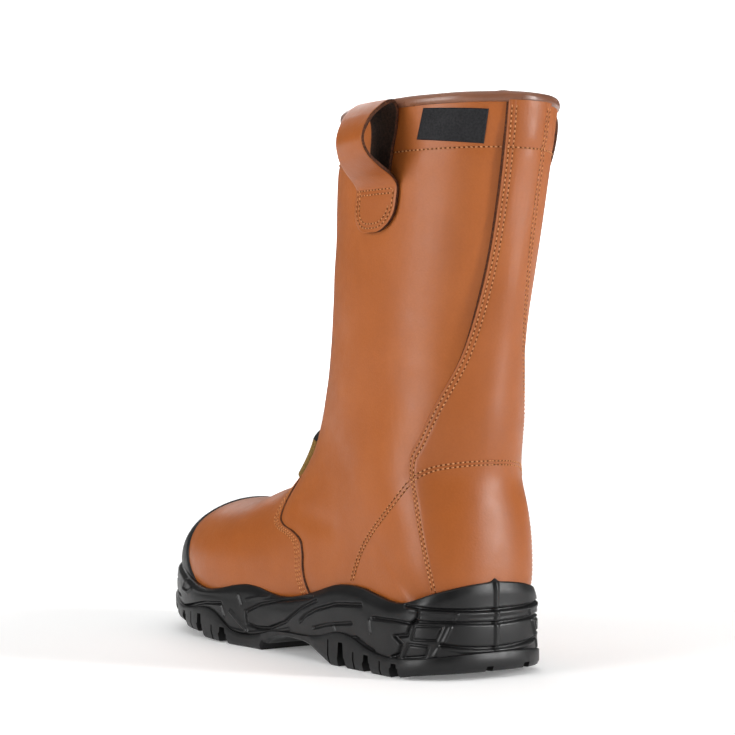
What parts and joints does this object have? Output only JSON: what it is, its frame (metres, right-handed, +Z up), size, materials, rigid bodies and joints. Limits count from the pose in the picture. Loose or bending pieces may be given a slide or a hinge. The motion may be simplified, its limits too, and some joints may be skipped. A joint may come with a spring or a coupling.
{
  "type": "pull-on safety boot",
  "caption": "Left mid-calf pull-on safety boot: tan leather shaft with folded pull loops, black toe guard and wavy black cup sole with heel and tread lugs.",
  "frame": {"origin": "middle of the boot's box seen from above, on the floor plane under the sole", "axes": "+Z up from the floor, the toe points along -Y and the outer side of the foot along +X"},
  "size_m": [0.137, 0.3292, 0.3051],
  "materials": {
    "sole_rubber": "moulded, satin",
    "sole_foam": "moulded skin, satin",
    "leather": "full grain, satin",
    "leather_panel": "full grain, satin",
    "strap": "full grain, satin, raw cut edges",
    "binding": "rolled, satin",
    "guard": "matt",
    "tab": "matt",
    "insole_felt": "matt felt"
  },
  "bodies": {
    "root": {"outsole": "sole_rubber", "midsole": "sole_foam", "upper": "leather", "insole": "insole_felt", "back_panel": "leather_panel", "toe_guard": "guard", "instep_tab": "tab", "collar_binding": "binding", "pull_loop_lateral": "strap", "pull_loop_medial": "strap"}
  },
  "joints": []
}
